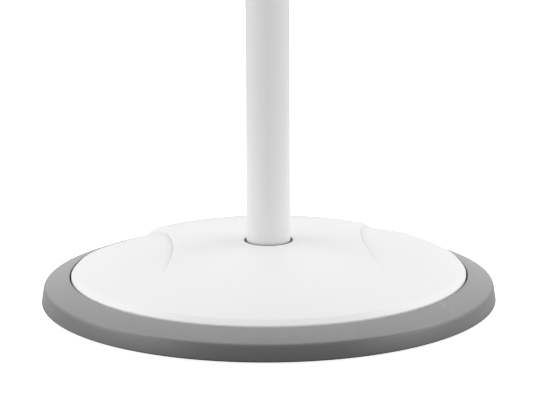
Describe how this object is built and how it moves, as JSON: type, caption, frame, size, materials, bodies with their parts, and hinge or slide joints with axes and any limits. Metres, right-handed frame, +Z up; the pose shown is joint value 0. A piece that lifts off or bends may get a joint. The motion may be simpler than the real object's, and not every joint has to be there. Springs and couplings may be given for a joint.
{
  "type": "customer pole display",
  "caption": "Telescopic pole with a tilting, swivelling display head on a low, weighted round foot, for showing a price to a customer.",
  "frame": {"origin": "on the counter, under the pole's axis at the middle of the foot", "axes": "+Z up the pole; the display faces -Y; +X is to the right of someone reading it"},
  "size_m": [0.26, 0.26, 0.552],
  "materials": {
    "cover_white": "satin moulded",
    "rim_grey": "matte soft-touch",
    "pole_white": "satin powder coat",
    "pan_grey": "matte",
    "cast_iron": "rough cast",
    "zinc_steel": "zinc plated",
    "black_rubber": "matte",
    "black_plastic": "matte",
    "board_green": "solder mask",
    "smoked_window": "polished, tinted",
    "display_glass": "polished",
    "lead_grey": "soft matte jacket"
  },
  "bodies": {
    "base": {"base_pan": "pan_grey", "ballast_plate": "cast_iron", "pole_socket": "zinc_steel", "socket_screw_1": "zinc_steel", "socket_screw_2": "zinc_steel", "socket_screw_3": "zinc_steel", "socket_screw_4": "zinc_steel", "set_screw": "zinc_steel", "top_cover": "cover_white", "rim_ring": "rim_grey", "rubber_foot_1": "black_rubber", "rubber_foot_2": "black_rubber", "rubber_foot_3": "black_rubber", "rubber_foot_4": "black_rubber", "pan_screw_1": "zinc_steel", "pan_screw_2": "zinc_steel", "pan_screw_3": "zinc_steel", "pan_screw_4": "zinc_steel", "interface_board": "board_green", "port_socket": "zinc_steel", "lower_pole": "pole_white", "pole_seal": "black_rubber", "lock_sleeve": "cover_white", "collet": "black_plastic", "base_lead": "lead_grey", "coiled_lead": "lead_grey"},
    "collar": {"twist_collar": "rim_grey"},
    "mast": {"upper_pole": "pole_white", "guide_plug": "black_plastic", "swivel_base": "cover_white", "friction_washer": "black_plastic", "mast_lead": "lead_grey"},
    "neck": {"swivel_neck": "cover_white", "swivel_clip": "zinc_steel", "tilt_pin_left": "zinc_steel", "tilt_pin_right": "zinc_steel", "tilt_washer_left": "black_plastic", "tilt_washer_right": "black_plastic", "neck_lead": "lead_grey"},
    "head": {"tilt_bracket": "zinc_steel", "bracket_screw_left": "zinc_steel", "bracket_screw_right": "zinc_steel", "rear_shell": "cover_white", "front_bezel": "rim_grey", "window": "smoked_window", "display_module": "display_glass", "display_board": "board_green", "display_header": "black_plastic", "board_connector": "black_plastic", "mode_switch_block": "black_plastic", "service_cover": "cover_white", "service_screw": "zinc_steel", "button_switch": "black_plastic", "shell_screw_1": "zinc_steel", "shell_screw_2": "zinc_steel", "shell_screw_3": "zinc_steel", "shell_screw_4": "zinc_steel", "head_lead": "lead_grey"},
    "button": {"power_button": "rim_grey"}
  },
  "joints": [
    {"name": "collar_twist", "type": "hinge", "parent": "base", "child": "collar", "pos_m": [0, 0, 0.2655], "axis": [0, 0, 1], "range_deg": [0, 90]},
    {"name": "height_slide", "type": "slide", "parent": "base", "child": "mast", "axis": [0, 0, 1], "range_m": [-0.06, 0.08], "deforming": ["coiled_lead"]},
    {"name": "head_swivel", "type": "hinge", "parent": "mast", "child": "neck", "pos_m": [0, 0, 0.425], "axis": [0, 0, 1], "range_deg": [-170, 170]},
    {"name": "head_tilt", "type": "hinge", "parent": "neck", "child": "head", "pos_m": [0, 0, 0.452], "axis": [-1, 0, 0], "range_deg": [-10, 35], "deforming": ["neck_lead"]},
    {"name": "button_press", "type": "slide", "parent": "head", "child": "button", "axis": [0, -1, 0], "range_m": [0, 0.0012], "stiffness_N_per_m": 600}
  ]
}
